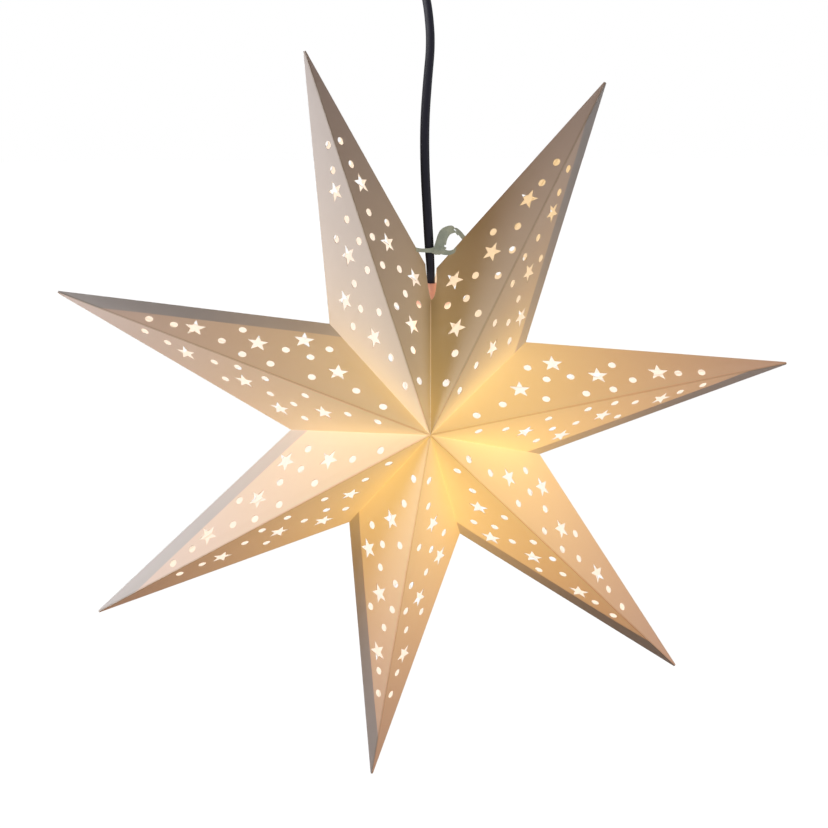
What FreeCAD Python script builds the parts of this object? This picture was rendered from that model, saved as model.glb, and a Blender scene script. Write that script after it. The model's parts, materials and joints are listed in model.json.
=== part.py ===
import FreeCAD, Part
import os
from math import acos, cos, degrees, pi, radians, sin, sqrt, tan

# Paper star pendant on a flex, hung from a ceiling rose. Millimetres.
# +Z is up, the star's front looks along -Y, and the origin is the middle of the
# rose's ceiling face.

V = FreeCAD.Vector

# ---------------------------------------------------------------- the star
tip_radius = 300.0          # star's centre to where the four faces of an arm meet
notch_radius = 101.4        # star's centre to the notch between two arms
seam_notch_radius = 111.4   # the same at the tied seam, where the arms are pulled together
half_depth = 85.0           # star's middle plane to its front or back point
arm_count = 7
seam_gap = 46.4             # degrees between the two arms beside the seam
star_lean = 5.96            # degrees that the seam's two arms together lean to the right
seam_bearing = 4.7          # degrees to the right of upright where the seam itself lies
arm_drift = [0.0, 1.4, 1.5, 1.5, 0.7, -0.6, 0.0]   # degrees each arm stands off an even spread
paper = 0.4                 # card thickness
glue_band = 12.0            # width of the glue flap behind each glued arm's clockwise edge
tip_blunt = 4.5             # how far short of the meeting point the card ends
tip_fold = 8.0              # length of the tip that is solid, layer on layer
seam_opening = 0.6          # gap between the two arms that are only tied

# each hole's place on a face: share of the ridge from the front point, share of the width there
dot_holes = [(0.134, 0.35), (0.211, 0.35), (0.321, 0.70), (0.324, 0.18), (0.352, 0.43), (0.415, 0.44),
             (0.430, 0.15), (0.503, 0.15), (0.535, 0.62), (0.565, 0.28), (0.690, 0.33), (0.751, 0.28)]
star_holes = [(0.273, 0.47), (0.388, 0.66), (0.484, 0.43), (0.640, 0.40)]
dot_diameter = 6.2
star_hole_radius = 8.7
star_hole_waist = 0.42      # inner corner radius of a star hole, as a share of the outer
star_hole_points = 5

# ---------------------------------------------------------------- slot and ribbon
slot_half_width = 4.3
ribbon_width = 4.0
ribbon_thick = 0.4
ribbon_height = 19.0        # ribbon above the seam's notch
ribbon_reach = 13.0         # glued length on each arm's back
ribbon_stand_off = 2.6      # between the flex and the ribbon in front of it
knot_offset = 7.6           # from the seam's notch to the right, to the knot's middle
knot_half = V(3.8, 2.1, 4.8)
loop_height = 17.5          # bow loop's top above the ribbon
loop_reach = 18.0           # from the knot to the loop's far side
loop_depth = 11.5           # how far back the loop comes down

# ---------------------------------------------------------------- ceiling rose
rose_radius = 36.0
rose_height = 28.0
rose_wall = 2.0
rose_rim_round = 7.0
plate_edge_gap = 3.0        # between the ceiling plate and the inside of the cover
plate_thick = 1.6
ceiling_hole_spacing = 50.0
ceiling_hole_radius = 2.25
supply_hole_radius = 6.0
supply_hole_offset = 15.0   # in front of the middle
tab_width = 10.0
tab_length = 13.0
tab_gap = 0.6               # tab to the inside of the cover
cover_screw_radius = 1.5
cover_screw_head = 2.8
cover_screw_head_thick = 1.8
cover_screw_drop = 8.0      # below the ceiling
screw_play = 0.1
block_width = 22.0
block_depth = 12.0
block_height = 12.0
block_offset = 14.5         # terminal block's middle, behind the flex
terminal_pitch = 10.0
wire_bore = 1.7
terminal_screw_radius = 1.6

# ---------------------------------------------------------------- gland and flex
flex_radius = 3.0
core_radius = 1.1
core_pitch = 3.0
flex_play = 0.2             # radial, in the gland and the lampholder
swing_limit = 15.0          # degrees each way
swing_clear = 0.35
gland_flange_radius = 8.0
gland_flange_thick = 4.0
gland_tube_radius = 5.1
gland_tube_length = 6.0     # below the rose
nut_radius = 7.5
nut_length = 16.0
nut_mouth_length = 7.0
nut_mouth_wall = 1.2
flex_tail = 14.0            # length inside the rose above its floor

# ---------------------------------------------------------------- lampholder, small Edison screw
shoulder_radius = 15.0
star_clear = 0.3            # between the card and the lampholder's shoulder
cap_drop = 14.0
cap_dome = 7.0
neck_radius = 5.2
neck_length = 7.0
holder_wall = 1.9
skirt_top_radius = 14.2
skirt_end_radius = 12.6
skirt_length = 43.0
insert_radius = 10.9
insert_depth = 10.0         # base of the insert
insert_tube_radius = 9.6
insert_length = 33.0
shell_wall = 0.3
bulb_thread_radius = 6.9
thread_play = 0.3
contact_radius = 3.0
contact_thick = 1.5
holder_screw_radius = 1.9
holder_screw_height = 3.0
holder_screw_pitch = 14.0
grip_screw_radius = 1.4

# ---------------------------------------------------------------- bulb
globe_radius = 22.5
bulb_length = 74.0
bulb_cap_length = 19.0
bulb_cap_wall = 0.35
bulb_neck_play = 0.15
bulb_insulator_length = 3.6
bulb_tip_radius = 2.2
bulb_tip_thick = 1.2
glass_wall = 0.8
neck_sweep = 10.0           # radius of the curve from neck to globe
neck_in_cap = 6.0
stem_radius = 2.4
stem_length = 22.0
filament_count = 4
filament_radius = 0.9
filament_length = 26.0
filament_top_ring = 3.6
filament_end_ring = 8.0
lead_radius = 0.4
driver_width = 8.0
driver_depth = 5.0
driver_height = 11.0

# ---------------------------------------------------------------- the flex's route
gland_to_star = 345.0       # gland's mouth to the star's centre, straight down
star_offset = -3.0          # star's centre to the right of the rose, where the whole hangs plumb
# each point: height above the star's centre, distance to the right of the star's centre
flex_route = [(330.0, 3.6), (311.0, 7.2), (287.0, 8.9), (260.0, 6.3), (229.0, 4.1),
              (195.0, 4.2), (160.0, 6.1), (133.0, 7.7)]

# worked out from the sizes above
plate_radius = rose_radius - rose_wall - plate_edge_gap
gland_mouth_z = -rose_height - nut_length
pivot_z = gland_mouth_z + nut_mouth_length
star_z = gland_mouth_z - gland_to_star
star_centre = V(star_offset, 0, star_z)


# ================================================================ helpers
def save(name, shape):
    """Write one node's solids to its own file."""
    solids = shape.Solids
    for solid in solids:
        if not solid.isValid() or solid.Volume <= 0:
            print("NOT VALID", name)
    shape.exportStep(os.path.join("parts", name + ".step"))
    print("%-22s %2d solid(s)  %10.1f mm3" % (name, len(solids), shape.Volume))


def polyhedron(faces):
    """A solid with flat faces, each given by its corner points."""
    made = [Part.Face(Part.makePolygon(list(corners) + [corners[0]])) for corners in faces]
    solid = Part.Solid(Part.Shell(made))
    if solid.Volume < 0:
        solid.reverse()
    return solid


def box(x, y, z):
    """A box given by its lowest and highest value along each axis."""
    return Part.makeBox(x[1] - x[0], y[1] - y[0], z[1] - z[0], V(x[0], y[0], z[0]))


def turned(profile, x=0.0, y=0.0):
    """A solid of revolution about a vertical axis, from (radius, height) corners."""
    corners = [V(x + r, y, z) for r, z in profile]
    face = Part.Face(Part.makePolygon(corners + [corners[0]]))
    return face.revolve(V(x, y, 0), V(0, 0, 1), 360)


def rod(radius, start, end):
    """A round rod from one point to another."""
    return Part.makeCylinder(radius, (end - start).Length, start, end - start)


def unit(vector):
    return vector * (1.0 / vector.Length)


# ================================================================ star geometry
def bearing(angle, radius):
    """A point of the star's middle plane, angle in degrees clockwise from straight up."""
    return V(radius * sin(radians(angle)), 0, radius * cos(radians(angle)))


def arm_angles():
    """Bearing of each arm, clockwise from the one to the right of the seam."""
    step = (360.0 - seam_gap) / (arm_count - 1)
    first = star_lean + seam_gap / 2
    return [first + i * step + drift for i, drift in enumerate(arm_drift)]


def notch_after(i, angles):
    """The notch on the clockwise side of arm i, seen from the front."""
    here = angles[i]
    following = angles[(i + 1) % arm_count] + (360.0 if i == arm_count - 1 else 0.0)
    if i == arm_count - 1:
        return bearing(seam_bearing, seam_notch_radius)
    return bearing((here + following) / 2, notch_radius)


FRONT = V(0, -half_depth, 0)
BACK = V(0, half_depth, 0)
ANGLES = arm_angles()
TIPS = [bearing(a, tip_radius) for a in ANGLES]
NOTCHES = [notch_after(i, ANGLES) for i in range(arm_count)]
SEAM_NOTCH = NOTCHES[-1]


def face_frame(apex, tip, notch):
    """Along the ridge, across to the notch, and outwards, for one face of an arm."""
    along = unit(tip - apex)
    rest = notch - apex
    across = unit(rest - along * rest.dot(along))
    out = along.cross(across)
    if out.dot(apex) < 0:
        out = out * -1.0
    return along, across, out


def arm_wedge(tip, left, right, scale):
    """The space inside an arm's four faces, up to its two neighbours, drawn in by a scale."""
    f, b, t, l, r = [p * scale for p in (FRONT, BACK, tip, left, right)]
    return polyhedron([(t, f, r), (t, r, b), (t, b, l), (t, l, f), (f, b, r), (b, f, l)])


def shortened(solid, tip, length):
    """Cut an arm's tip off square at a length from its meeting point."""
    size = 60.0
    out = unit(tip)
    cutter = Part.makeBox(size, size, size, V(-size / 2, -size / 2, 0))
    turn = FreeCAD.Rotation(V(0, 0, 1), out)
    cutter.Placement = FreeCAD.Placement(tip - out * length, turn).multiply(cutter.Placement)
    return solid.cut(cutter)


def glue_flap(tip, notch, inner, layer):
    """The strip behind the front face's outer edge where the card is doubled."""
    ridge = tip - FRONT
    valley = notch - FRONT
    edge = tip - notch
    edge_distance = ridge.cross(valley).Length / edge.Length
    kept = 1.0 - glue_band / edge_distance
    outline = [tip, notch, FRONT + valley * kept, FRONT + ridge * kept]
    top = [p * inner for p in outline]
    under = [p * (inner * layer) for p in outline]
    sides = [(top[i], top[(i + 1) % 4], under[(i + 1) % 4], under[i]) for i in range(4)]
    return polyhedron([top, under[::-1]] + sides)


def star_outline(centre, along, across):
    """A five-pointed outline with one point towards the arm's tip."""
    corners = []
    for k in range(2 * star_hole_points):
        radius = star_hole_radius * (1.0 if k % 2 == 0 else star_hole_waist)
        angle = pi * k / star_hole_points
        corners.append(centre + along * (radius * cos(angle)) + across * (radius * sin(angle)))
    return Part.makePolygon(corners + [corners[0]])


def face_cutters(apex, tip, notch):
    """The dots and stars of one face, as prisms that go right through the card."""
    along, across, out = face_frame(apex, tip, notch)
    ridge = (tip - apex).Length
    notch_along = (notch - apex).dot(along)
    notch_across = (notch - apex).dot(across)
    start = out * (2 * paper)
    through = out * (-6 * paper)

    def place(share, width_share):
        x = share * ridge
        if x < notch_along:
            width = notch_across * x / notch_along
        else:
            width = notch_across * (ridge - x) / (ridge - notch_along)
        return apex + along * x + across * (width_share * width) + start

    cutters = []
    for share, width_share in dot_holes:
        centre = place(share, width_share)
        circle = Part.makeCircle(dot_diameter / 2, centre, out)
        cutters.append(Part.Face(Part.Wire(circle)).extrude(through))
    for share, width_share in star_holes:
        outline = star_outline(place(share, width_share), along, across)
        cutters.append(Part.Face(outline).extrude(through))
    return cutters


def arm(i):
    """One arm: a single folded card with four faces, glued to the next arm but for the last."""
    tip = TIPS[i]
    left = NOTCHES[i - 1]
    right = NOTCHES[i]
    face_distance = face_frame(FRONT, tip, right)[2].dot(FRONT)
    inner = 1.0 - paper / face_distance
    outside = shortened(arm_wedge(tip, left, right, 1.0), tip, tip_blunt)
    inside = shortened(arm_wedge(tip, left, right, inner), tip, tip_fold)
    if i < arm_count - 1:
        inside = inside.cut(glue_flap(tip, right, inner, inner))
    card = outside.cut(inside)
    cutters = []
    for apex in (FRONT, BACK):
        for notch in (left, right):
            cutters += face_cutters(apex, tip, notch)
    card = card.cut(cutters)
    if i in (0, arm_count - 1):
        card = card.cut([seam_cutter(), slot_cutter()])
    card.translate(star_centre)
    return card


def seam_cutter():
    """A thin slab in the plane of the open seam."""
    size = seam_notch_radius * 1.5
    slab = Part.makeBox(seam_opening, 2.4 * half_depth, size, V(-seam_opening / 2, -1.2 * half_depth, 0))
    lean = degrees(acos(SEAM_NOTCH.z / SEAM_NOTCH.Length))
    slab.rotate(V(0, 0, 0), V(0, 1, 0), lean)
    return slab


def slot_cutter():
    """The oval cut-out round the flex, seen from above."""
    middle = V(SEAM_NOTCH.x, 0, 0)
    long_end = middle + V(0, shoulder_radius - star_clear, 0)
    short_end = middle + V(slot_half_width, 0, 0)
    oval = Part.Ellipse(long_end, short_end, middle).toShape()
    low = V(0, 0, seam_notch_radius / 2)
    prism = Part.Face(Part.Wire(oval)).extrude(V(0, 0, seam_notch_radius))
    prism.translate(low)
    return prism


# ================================================================ lampholder's place under the seam
def valley_height(distance):
    """Height of the card's underside at the seam, at a distance in front of the middle plane."""
    apex = FRONT
    heights = []
    for tip in (TIPS[0], TIPS[-1]):
        out = face_frame(apex, tip, SEAM_NOTCH)[2]
        share = 1.0 - distance / half_depth
        x = SEAM_NOTCH.x * share
        level = out.dot(apex) - paper
        heights.append((level - out.x * x + out.y * distance) / out.z)
    return min(heights)


holder_x = star_offset + SEAM_NOTCH.x
shoulder_z = star_z + valley_height(shoulder_radius) - star_clear
neck_top_z = shoulder_z + cap_dome + neck_length
cap_end_z = shoulder_z - cap_drop
skirt_end_z = cap_end_z - skirt_length
insert_top_z = cap_end_z - 3.0
insert_base_z = insert_top_z - insert_depth
shell_inner = bulb_thread_radius + thread_play
shell_outer = shell_inner + shell_wall
shell_end_z = insert_top_z - insert_length
bulb_top_z = insert_base_z - contact_thick - thread_play
bulb_cap_top_z = bulb_top_z - bulb_tip_thick - bulb_insulator_length
bulb_cap_end_z = bulb_cap_top_z - bulb_cap_length
globe_z = bulb_top_z - bulb_length + globe_radius
flex_end_z = shoulder_z + 2.0


# ================================================================ ribbon
def ribbon_band(tip, side):
    """One ribbon: glued to an arm's back beside the seam, then drawn round in front of the flex."""
    edge = unit(tip - SEAM_NOTCH)
    root = SEAM_NOTCH + edge * (ribbon_height / edge.z)
    out = face_frame(BACK, tip, SEAM_NOTCH)[2]
    across = unit(edge.cross(out))
    size = 3 * ribbon_reach
    corners = [root + edge * (a * size) + across * (b * size) for a, b in ((-1, -1), (1, -1), (1, 1), (-1, 1))]
    slab = Part.Face(Part.makePolygon(corners + [corners[0]])).extrude(out * ribbon_thick)
    low = root.z - ribbon_width / 2
    high = root.z + ribbon_width / 2
    front = -(flex_radius + ribbon_stand_off)
    reach = root.x - side * ribbon_reach
    meet = knot_x() - side * (knot_half.x + 0.1)
    inner = root.x + side * (abs(meet - root.x) if side < 0 else 6.0)
    xs = sorted((reach, inner))
    patch = slab.common(box(xs, (front - ribbon_thick, half_depth), (low, high)))
    turn_x = root.x + side * 3.2
    end_x = knot_x() if side > 0 else meet
    run = box(sorted((turn_x, end_x)), (front - ribbon_thick, front), (low, high))
    return patch.fuse(run).removeSplitter(), root


def knot_x():
    """Middle of the knot, midway between the flex and the right-hand arm's edge."""
    return SEAM_NOTCH.x + knot_offset


def knot(root):
    """The knot, a rounded lump in front of the ribbon."""
    ball = Part.makeSphere(1.0)
    stretch = FreeCAD.Matrix()
    stretch.scale(knot_half)
    lump = ball.transformGeometry(stretch)
    lump.translate(V(knot_x(), -(flex_radius + ribbon_stand_off + 1.5), root.z + 2.5))
    return lump


def bow_loop(root):
    """The loop of ribbon that stands up from the knot and falls behind the right-hand arm."""
    front = -(flex_radius + ribbon_stand_off)
    # shares of the loop's reach, depth and height
    shape = [(0.0, 0.0, 0.34), (0.08, 0.09, 0.69), (0.31, 0.21, 1.0), (0.61, 0.43, 1.0),
             (0.89, 0.67, 0.74), (1.0, 0.88, 0.34), (0.83, 1.0, -0.03), (0.5, 0.82, -0.11)]
    centre_line = [V(knot_x() + loop_reach * a, front + (loop_depth - front) * b, root.z + loop_height * c)
                   for a, b, c in shape]
    centre = V(knot_x() + loop_reach * 0.45, 0, root.z + loop_height * 0.45)
    sections = []
    for k, point in enumerate(centre_line):
        ahead = centre_line[min(k + 1, len(centre_line) - 1)]
        behind = centre_line[max(k - 1, 0)]
        run = unit(ahead - behind)
        flat = unit(V(0, 1, 0) + unit(point - centre) * 0.6)
        flat = unit(flat - run * flat.dot(run))
        thick = unit(run.cross(flat))
        half_width = flat * (ribbon_width / 2)
        half_thick = thick * (ribbon_thick / 2)
        corners = [point + half_width + half_thick, point - half_width + half_thick,
                   point - half_width - half_thick, point + half_width - half_thick]
        sections.append(Part.makePolygon(corners + [corners[0]]))
    return Part.makeLoft(sections, True, True)


def ribbons():
    left, root = ribbon_band(TIPS[-1], 1.0)
    right, _ = ribbon_band(TIPS[0], -1.0)
    left = left.fuse([knot(root), bow_loop(root)])
    left.translate(star_centre)
    right.translate(star_centre)
    return left, right


# ================================================================ ceiling rose
def ceiling_plate():
    plate = Part.makeCylinder(plate_radius, plate_thick, V(0, 0, -plate_thick))
    tab_out = rose_radius - rose_wall - tab_gap
    for side in (-1, 1):
        arm_y = sorted((side * plate_radius * 0.9, side * tab_out))
        tab_y = sorted((side * (tab_out - plate_thick), side * tab_out))
        half = tab_width / 2
        plate = plate.fuse(box((-half, half), arm_y, (-plate_thick, 0)))
        plate = plate.fuse(box((-half, half), tab_y, (-tab_length, 0)))
    supply_hole = V(0, -supply_hole_offset, -2 * plate_thick)
    cutters = [Part.makeCylinder(supply_hole_radius, 3 * plate_thick, supply_hole)]
    for side in (-1, 1):
        at = V(side * ceiling_hole_spacing / 2, 0, -2 * plate_thick)
        cutters.append(Part.makeCylinder(ceiling_hole_radius, 3 * plate_thick, at))
    hole = cover_screw_radius + screw_play
    across = V(0, -rose_radius, -cover_screw_drop)
    cutters.append(Part.makeCylinder(hole, 2 * rose_radius, across, V(0, 1, 0)))
    block_hole = V(0, block_offset, -2 * plate_thick)
    cutters.append(Part.makeCylinder(cover_screw_radius + screw_play, 3 * plate_thick, block_hole))
    return plate.cut(cutters).removeSplitter()


def rose_cover():
    outer = Part.makeCylinder(rose_radius, rose_height, V(0, 0, -rose_height))
    low = [e for e in outer.Edges if e.BoundBox.ZMax < -rose_height + 0.01]
    outer = outer.makeFillet(rose_rim_round, low)
    inner_radius = rose_radius - rose_wall
    inner = Part.makeCylinder(inner_radius, rose_height, V(0, 0, -rose_height + rose_wall))
    low = [e for e in inner.Edges if e.BoundBox.ZMax < -rose_height + rose_wall + 0.01]
    inner = inner.makeFillet(rose_rim_round - rose_wall, low)
    cutters = [inner]
    gland_hole = gland_tube_radius + screw_play
    cutters.append(Part.makeCylinder(gland_hole, 3 * rose_wall, V(0, 0, -rose_height - rose_wall)))
    screw_hole = cover_screw_radius + 2 * screw_play
    across = V(0, -1.2 * rose_radius, -cover_screw_drop)
    cutters.append(Part.makeCylinder(screw_hole, 2.4 * rose_radius, across, V(0, 1, 0)))
    return outer.cut(cutters)


def cover_screws():
    """Two side screws that hold the cover to the plate's tabs."""
    screws = []
    tab_in = rose_radius - rose_wall - tab_gap - plate_thick
    for side in (-1, 1):
        start = V(0, side * (tab_in - 1.5), -cover_screw_drop)
        under_head = V(0, side * (rose_radius + 0.05), -cover_screw_drop)
        top = V(0, side * (rose_radius + 0.05 + cover_screw_head_thick), -cover_screw_drop)
        screw = rod(cover_screw_radius, start, under_head).fuse(rod(cover_screw_head, under_head, top))
        slot_y = sorted((side * (rose_radius + 1.1), side * (rose_radius + 4.0)))
        slot = box((-cover_screw_head, cover_screw_head), slot_y,
                   (-cover_screw_drop - 0.4, -cover_screw_drop + 0.4))
        screws.append(screw.removeSplitter().cut(slot))
    return Part.makeCompound(screws)


def block_box():
    half_x = block_width / 2
    half_y = block_depth / 2
    return ((-half_x, half_x), (block_offset - half_y, block_offset + half_y),
            (-plate_thick - block_height, -plate_thick))


def terminal_block():
    x, y, z = block_box()
    block = box(x, y, z)
    block = block.makeFillet(1.0, [e for e in block.Edges if e.BoundBox.ZLength > 1.0])
    middle_z = (z[0] + z[1]) / 2
    cutters = []
    for side in (-1, 1):
        wire_x = side * terminal_pitch * 0.7
        cutters.append(rod(wire_bore, V(wire_x, y[0] - 1, middle_z), V(wire_x, y[1] + 1, middle_z)))
        screw = V(wire_x, block_offset, z[0] - 1)
        cutters.append(rod(terminal_screw_radius + screw_play, screw, V(wire_x, block_offset, middle_z)))
    cutters.append(rod(cover_screw_radius + screw_play, V(0, block_offset, z[0] - 1), V(0, block_offset, 1)))
    return block.cut(cutters)


def terminal_screws():
    """The two screws that clamp the cores, and reach the block's wire bores."""
    z = block_box()[2]
    middle_z = (z[0] + z[1]) / 2
    screws = []
    for side in (-1, 1):
        wire_x = side * terminal_pitch * 0.7
        top = V(wire_x, block_offset, middle_z - wire_bore)
        screw = rod(terminal_screw_radius, V(wire_x, block_offset, z[0] - 0.6), top)
        slot = box((wire_x - 2, wire_x + 2), (block_offset - 0.3, block_offset + 0.3), (z[0] - 1.0, z[0]))
        screws.append(screw.cut(slot))
    return Part.makeCompound(screws)


def block_screw():
    """Holds the terminal block up against the plate."""
    z = block_box()[2]
    shank = rod(cover_screw_radius, V(0, block_offset, z[0] - 0.05), V(0, block_offset, -0.2))
    head = rod(cover_screw_head, V(0, block_offset, z[0] - 0.05 - cover_screw_head_thick),
               V(0, block_offset, z[0] - 0.05))
    slot_z = z[0] - 0.05 - cover_screw_head_thick
    slot = box((-3, 3), (block_offset - 0.4, block_offset + 0.4), (slot_z - 1, slot_z + 0.8))
    return shank.fuse(head).removeSplitter().cut(slot)


def cord_gland():
    """Flanged nipple that stands in the rose's floor."""
    floor_z = -rose_height + rose_wall
    end_z = -rose_height - gland_tube_length
    bore = flex_radius + flex_play
    return turned([(bore, end_z), (gland_tube_radius, end_z), (gland_tube_radius, floor_z),
                   (gland_flange_radius, floor_z), (gland_flange_radius, floor_z + gland_flange_thick),
                   (bore, floor_z + gland_flange_thick)])


def gland_nut():
    """Nut under the rose, with a flared mouth that lets the flex swing."""
    top_z = -rose_height
    inner_z = top_z - gland_tube_length - 0.5
    bore = flex_radius + swing_clear
    mouth = bore + nut_mouth_length * tan(radians(swing_limit)) * 1.12
    thread = gland_tube_radius + screw_play
    waist_z = top_z - nut_length * 0.5
    return turned([(thread, top_z), (nut_radius, top_z), (nut_radius, waist_z),
                   (mouth + nut_mouth_wall, gland_mouth_z), (mouth, gland_mouth_z),
                   (bore, pivot_z), (bore, inner_z), (thread, inner_z)])


def flex_in_rose():
    """The flex's sheathed end, held in the gland."""
    top = V(0, 0, -rose_height + flex_tail)
    return rod(flex_radius, V(0, 0, pivot_z + flex_radius + swing_clear), top)


def rose_wires():
    """The two cores from the sheath to the terminal block."""
    y, z = block_box()[1:]
    top_z = -rose_height + flex_tail
    middle_z = (z[0] + z[1]) / 2
    wires = []
    for side in (-1, 1):
        start = V(side * core_pitch / 2, 0, top_z)
        knee = V(side * core_pitch / 2, 0, middle_z)
        enter = V(side * terminal_pitch * 0.7, y[0] - 2.0, middle_z)
        end = V(side * terminal_pitch * 0.7, block_offset, middle_z)
        pieces = [rod(core_radius, start, knee), Part.makeSphere(core_radius, knee),
                  rod(core_radius, knee, enter), Part.makeSphere(core_radius, enter),
                  rod(core_radius, enter, end)]
        wires.append(pieces[0].fuse(pieces[1:]))
    return Part.makeCompound(wires)


# ================================================================ flex
def flex_points():
    """The chosen route, from the gland's pivot down to the lampholder."""
    points = [V(0, 0, pivot_z), V(0, 0, gland_mouth_z - 2.0)]
    points += [V(star_offset + x, 0, star_z + z) for z, x in flex_route]
    points += [V(holder_x, 0, neck_top_z + 8.0), V(holder_x, 0, flex_end_z)]
    return points


def tangent_path(points):
    """Straight runs joined by tangent arcs, each as large as its two runs allow."""
    edges = []
    start = points[0]
    for before, corner, after in zip(points, points[1:], points[2:]):
        into = unit(corner - before)
        away = unit(after - corner)
        turn = into.getAngle(away)
        run = min((corner - before).Length, (after - corner).Length)
        radius = 0.45 * run / tan(turn / 2)
        setback = radius * tan(turn / 2)
        arc_start = corner - into * setback
        arc_end = corner + away * setback
        to_centre = unit(away - into)
        middle = corner + to_centre * (radius * (1.0 / cos(turn / 2) - 1.0))
        edges.append(Part.LineSegment(start, arc_start).toShape())
        edges.append(Part.Arc(arc_start, middle, arc_end).toShape())
        print("flex bend %.1f degrees, radius %.0f mm" % (degrees(turn), radius))
        start = arc_end
    edges.append(Part.LineSegment(start, points[-1]).toShape())
    return Part.Wire(edges)


def flex():
    """The free flex, with a rounded top that turns in the gland's mouth."""
    path = tangent_path(flex_points())
    circle = Part.makeCircle(flex_radius, flex_points()[0], V(0, 0, 1))
    tube = path.makePipeShell([Part.Wire(circle)], True, False)
    print("flex length %.1f mm, volume %.0f, section times length %.0f"
          % (path.Length, tube.Volume, pi * flex_radius ** 2 * path.Length))
    dome = Part.makeSphere(flex_radius, V(0, 0, pivot_z), V(0, 0, 1), 0, 90, 360)
    return tube.fuse(dome).removeSplitter()


# ================================================================ lampholder
def holder_cap():
    """Domed top with the flex's neck; the star rests on its shoulder."""
    bore = flex_radius + flex_play
    inner = shoulder_radius - holder_wall
    roof_z = shoulder_z - holder_wall
    cap = turned([(bore, neck_top_z), (neck_radius, neck_top_z), (neck_radius, shoulder_z + cap_dome),
                  (shoulder_radius, shoulder_z), (shoulder_radius, cap_end_z), (inner, cap_end_z),
                  (inner, roof_z), (neck_radius + 1.0, shoulder_z + cap_dome - 2 * holder_wall),
                  (bore, shoulder_z + cap_dome - 2 * holder_wall)], holder_x)
    screw_z = shoulder_z + cap_dome + neck_length / 2
    hole = rod(grip_screw_radius + screw_play, V(holder_x, flex_radius, screw_z),
               V(holder_x, 2 * neck_radius, screw_z))
    return cap.cut(hole)


def grip_screw():
    """Nylon grub screw that clamps the flex in the neck."""
    screw_z = shoulder_z + cap_dome + neck_length / 2
    screw = rod(grip_screw_radius, V(holder_x, flex_radius + 0.1, screw_z),
                V(holder_x, neck_radius + 0.6, screw_z))
    slot = box((holder_x - 2, holder_x + 2), (neck_radius, neck_radius + 2), (screw_z - 0.3, screw_z + 0.3))
    return screw.cut(slot)


def holder_skirt():
    """Outer sleeve, screwed up inside the cap by its collar."""
    collar_radius = shoulder_radius - holder_wall - screw_play
    collar_top = cap_end_z + 8.0
    inner_top = collar_radius - holder_wall
    inner_end = skirt_end_radius - holder_wall
    return turned([(inner_top, collar_top), (collar_radius, collar_top), (collar_radius, cap_end_z),
                   (skirt_top_radius, cap_end_z), (skirt_end_radius, skirt_end_z),
                   (inner_end, skirt_end_z), (inner_end, insert_base_z - 6.0),
                   (inner_top, insert_base_z)], holder_x)


def holder_insert():
    """White insulating insert with the lamp's well; its base takes the terminals."""
    base = turned([(0, insert_top_z), (insert_radius, insert_top_z), (insert_radius, insert_base_z),
                   (insert_tube_radius, insert_base_z), (insert_tube_radius, shell_end_z),
                   (shell_outer + screw_play, shell_end_z), (shell_outer + screw_play, insert_base_z),
                   (0, insert_base_z)], holder_x)
    cutters = []
    for side in (-1, 1):
        at = V(holder_x + side * holder_screw_pitch / 2, 0, insert_top_z - holder_screw_height)
        cutters.append(Part.makeCylinder(holder_screw_radius + screw_play, 2 * holder_screw_height, at))
    return base.cut(cutters)


def screw_shell():
    """Thin threaded shell that takes the bulb's cap."""
    profile = []
    pitch = 2.8
    depth = 0.25
    turns = int((insert_base_z - shell_end_z) / pitch)
    for k in range(turns):
        z = insert_base_z - k * pitch
        profile += [(shell_outer, z), (shell_outer, z - pitch * 0.4), (shell_outer - depth, z - pitch * 0.5),
                    (shell_outer - depth, z - pitch * 0.9)]
    profile.append((shell_outer, insert_base_z - turns * pitch))
    return turned(profile + [(shell_inner - depth, insert_base_z - turns * pitch),
                             (shell_inner - depth, insert_base_z)], holder_x)


def centre_contact():
    """Sprung tongue at the bottom of the well."""
    plate = Part.makeCylinder(contact_radius, contact_thick / 3,
                              V(holder_x, 0, insert_base_z - contact_thick / 3))
    button = Part.makeCone(contact_radius * 0.4, contact_radius * 0.8, contact_thick * 2 / 3,
                           V(holder_x, 0, insert_base_z - contact_thick))
    return plate.fuse(button).removeSplitter()


def holder_terminal_screws():
    screws = []
    for side in (-1, 1):
        x = holder_x + side * holder_screw_pitch / 2
        low = insert_top_z - holder_screw_height
        screw = Part.makeCylinder(holder_screw_radius, holder_screw_height + 1.0, V(x, 0, low))
        slot = box((x - 3, x + 3), (-0.3, 0.3), (insert_top_z + 0.3, insert_top_z + 2.0))
        screws.append(screw.cut(slot))
    return Part.makeCompound(screws)


def holder_wires():
    """The two cores from the flex's end to the terminal screws."""
    wires = []
    for side in (-1, 1):
        start = V(holder_x + side * core_pitch / 2, 0, flex_end_z)
        knee = V(holder_x + side * core_pitch / 2, 0, flex_end_z - 4.0)
        end = V(holder_x + side * holder_screw_pitch / 2, 0, insert_top_z + 1.0 + core_radius)
        pieces = [rod(core_radius, start, knee), Part.makeSphere(core_radius, knee),
                  rod(core_radius, knee, end), Part.makeSphere(core_radius, end)]
        wires.append(pieces[0].fuse(pieces[1:]))
    return Part.makeCompound(wires)


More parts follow.
